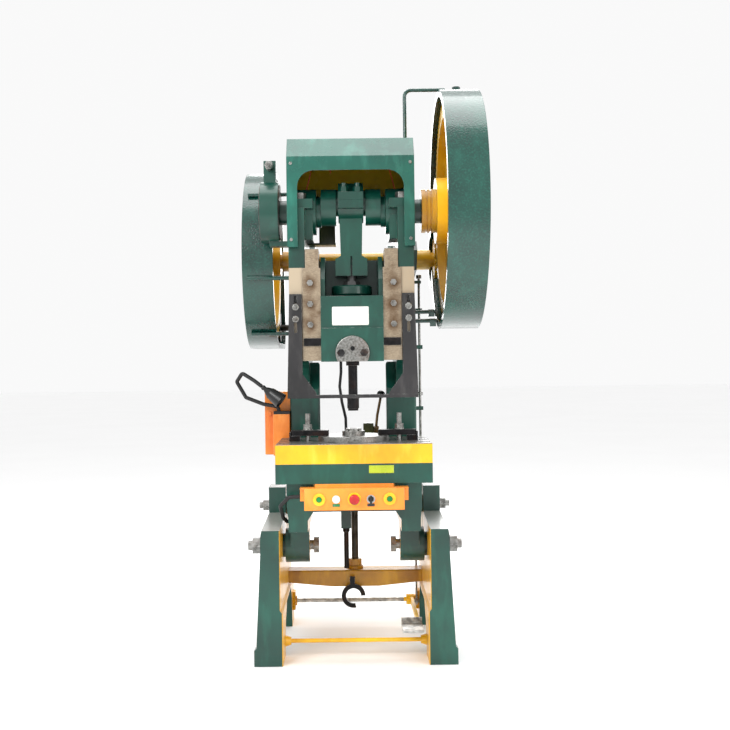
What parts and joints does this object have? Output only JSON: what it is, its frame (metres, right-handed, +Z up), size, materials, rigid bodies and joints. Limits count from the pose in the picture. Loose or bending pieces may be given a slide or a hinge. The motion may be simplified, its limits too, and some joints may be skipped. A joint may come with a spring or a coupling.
{
  "type": "inclinable mechanical power press",
  "caption": "Geared open-back inclinable stamping press: cast C frame tilting in two legs, crank-driven ram, T-slot bolster, guarded gear and flywheel, two-hand control box.",
  "frame": {"origin": "on the floor, at the centre of the four foundation-bolt holes in the feet", "axes": "+X to the right as the operator faces the press, +Y to the back, +Z up"},
  "size_m": [0.927, 1.321, 2.0982],
  "materials": {
    "green_cast": "gloss enamel on cast iron",
    "green_sheet": "hammertone enamel on sheet steel",
    "yellow_paint": "gloss enamel",
    "orange_paint": "powder coat",
    "black_paint": "satin enamel",
    "bright_steel": "machined and oiled",
    "dark_steel": "blackened",
    "cast_iron": "machined and oiled",
    "bronze": "bored",
    "copper": "drawn tube",
    "motor_grey": "enamel",
    "rubber": "matt",
    "green_plastic": "moulded",
    "red_plastic": "moulded",
    "yellow_plastic": "moulded",
    "black_plastic": "moulded",
    "zinc": "zinc plated"
  },
  "bodies": {
    "base": {"leg_right": "green_cast", "leg_left": "green_cast", "cross_beam": "yellow_paint", "tie_rod": "yellow_paint", "base_fittings": "zinc"},
    "press_frame": {"c_frame": "green_cast", "bearing_caps": "green_cast", "bearing_bushes": "bronze", "brake_band": "green_cast", "brake_bolt": "zinc", "gibs": "cast_iron", "v_belts": "rubber", "motor": "motor_grey", "motor_bracket": "green_cast", "gear_guard": "green_sheet", "flywheel_guard": "green_sheet", "guard_stays": "green_sheet", "hood": "green_sheet", "guard_plates": "black_paint", "frame_screws": "zinc", "lubricators": "cast_iron", "oil_tubes": "copper", "bolster_plate": "yellow_paint", "die_set": "bright_steel", "strap_clamps": "dark_steel", "clamp_studs": "zinc", "control_box": "orange_paint", "panel_fittings": "yellow_plastic", "cabinet": "orange_paint", "lamp_arm": "black_plastic", "cables": "rubber", "clutch_bracket": "green_cast", "hanging_bar": "dark_steel"},
    "tilt_nut": {"tilt_nut": "yellow_paint"},
    "tilt_screw": {"tilt_screw": "yellow_paint"},
    "crank": {"crankshaft": "cast_iron", "brake_drum": "cast_iron"},
    "rod": {"connecting_rod": "green_cast", "rod_cap": "green_cast", "ball_screw": "green_cast"},
    "slide": {"ram": "green_cast", "shank_clamp": "bright_steel", "ram_screws": "dark_steel", "punch_holder": "dark_steel"},
    "knock_bar": {"knock_bar": "dark_steel"},
    "gear": {"bull_gear": "yellow_paint"},
    "back_shaft": {"back_shaft": "yellow_paint", "flywheel": "yellow_paint"},
    "motor_shaft": {"motor_pulley": "cast_iron"},
    "pedal": {"pedal": "zinc"},
    "pull_rod": {"pull_rod": "zinc"},
    "pedal_link": {"pedal_link": "zinc"},
    "start_button_left": {"start_button_left": "green_plastic"},
    "start_button_right": {"start_button_right": "green_plastic"},
    "stop_button": {"stop_button": "red_plastic"},
    "selector": {"selector": "black_plastic"},
    "cabinet_door": {"cabinet_door": "orange_paint"},
    "lamp_head": {"lamp_head": "black_plastic"},
    "pump_lever": {"pump_lever": "yellow_paint"}
  },
  "joints": [
    {"name": "frame_tilt", "type": "hinge", "parent": "base", "child": "press_frame", "pos_m": [0, -0.15, 0.396], "axis": [-1, 0, 0], "range_deg": [0, 30]},
    {"name": "tilt_nut_rock", "type": "hinge", "parent": "base", "child": "tilt_nut", "pos_m": [0, 0.185, 0.245], "axis": [-1, 0, 0], "range_deg": [0, 19.68]},
    {"name": "tilt_screw_slide", "type": "slide", "parent": "tilt_nut", "child": "tilt_screw", "axis": [0, 0, 1], "range_m": [-0.1855, 0]},
    {"name": "crank_turn", "type": "hinge", "parent": "press_frame", "child": "crank", "pos_m": [0, -0.185, 1.638], "axis": [1, 0, 0], "range_deg": [0, 180]},
    {"name": "rod_swing", "type": "hinge", "parent": "crank", "child": "rod", "pos_m": [0, -0.185, 1.6705], "axis": [1, 0, 0], "range_deg": [-180, 0]},
    {"name": "ram_slide", "type": "slide", "parent": "press_frame", "child": "slide", "axis": [0, 0, 1], "range_m": [-0.065, 0]},
    {"name": "knock_bar_lift", "type": "slide", "parent": "slide", "child": "knock_bar", "axis": [0, 0, 1], "range_m": [0, 0.022]},
    {"name": "gear_spin", "type": "hinge", "parent": "press_frame", "child": "gear", "pos_m": [0.4, -0.185, 1.638], "axis": [1, 0, 0], "continuous": true},
    {"name": "back_shaft_spin", "type": "hinge", "parent": "press_frame", "child": "back_shaft", "pos_m": [0, 0.26576, 1.498], "axis": [1, 0, 0], "continuous": true},
    {"name": "motor_spin", "type": "hinge", "parent": "press_frame", "child": "motor_shaft", "pos_m": [-0.36, 0.6, 1.235], "axis": [1, 0, 0], "continuous": true},
    {"name": "pedal_press", "type": "hinge", "parent": "base", "child": "pedal", "pos_m": [0, 0.28, 0.095], "axis": [1, 0, 0], "range_deg": [0, 3.4], "stiffness_Nm_per_rad": 160, "springref_deg": -20.05},
    {"name": "pedal_link_pull", "type": "slide", "parent": "base", "child": "pedal_link", "axis": [0, 0, 1], "range_m": [-0.0035, 0]},
    {"name": "pull_rod_pull", "type": "slide", "parent": "press_frame", "child": "pull_rod", "axis": [0, 0, 1], "range_m": [-0.0035, 0], "stiffness_N_per_m": 1200, "springref_m": 0.03},
    {"name": "start_left_push", "type": "slide", "parent": "press_frame", "child": "start_button_left", "axis": [0, 1, 0], "range_m": [0, 0.005], "stiffness_N_per_m": 800},
    {"name": "start_right_push", "type": "slide", "parent": "press_frame", "child": "start_button_right", "axis": [0, 1, 0], "range_m": [0, 0.005], "stiffness_N_per_m": 800},
    {"name": "stop_push", "type": "slide", "parent": "press_frame", "child": "stop_button", "axis": [0, 1, 0], "range_m": [0, 0.006], "stiffness_N_per_m": 1000},
    {"name": "selector_turn", "type": "hinge", "parent": "press_frame", "child": "selector", "pos_m": [0.058, -0.422, 0.599], "axis": [0, -1, 0], "range_deg": [-45, 45]},
    {"name": "cabinet_door_swing", "type": "hinge", "parent": "press_frame", "child": "cabinet_door", "pos_m": [-0.3135, 0.2303, 0.84], "axis": [0, 0, -1], "range_deg": [0, 100]},
    {"name": "lamp_aim", "type": "hinge", "parent": "press_frame", "child": "lamp_head", "pos_m": [-0.348, 0.002, 0.984], "axis": [0, 0, 1], "range_deg": [-20, 20]},
    {"name": "pump_lever_swing", "type": "hinge", "parent": "press_frame", "child": "pump_lever", "pos_m": [0.09, 0.232, 0.8], "axis": [1, 0, 0], "range_deg": [-25, 25]}
  ],
  "couplings": [
    {"joint": "tilt_nut_rock", "follows": "frame_tilt", "ratio": 0.65423},
    {"joint": "tilt_screw_slide", "follows": "frame_tilt", "m_per_rad": -0.35323},
    {"joint": "rod_swing", "follows": "crank_turn", "ratio": -1},
    {"joint": "ram_slide", "follows": "crank_turn", "m_per_rad": -0.02069},
    {"joint": "back_shaft_spin", "follows": "gear_spin", "ratio": -4.9},
    {"joint": "motor_spin", "follows": "gear_spin", "ratio": -25.872},
    {"joint": "pedal_link_pull", "follows": "pedal_press", "m_per_rad": -0.044},
    {"joint": "pull_rod_pull", "follows": "pedal_press", "m_per_rad": -0.044}
  ]
}
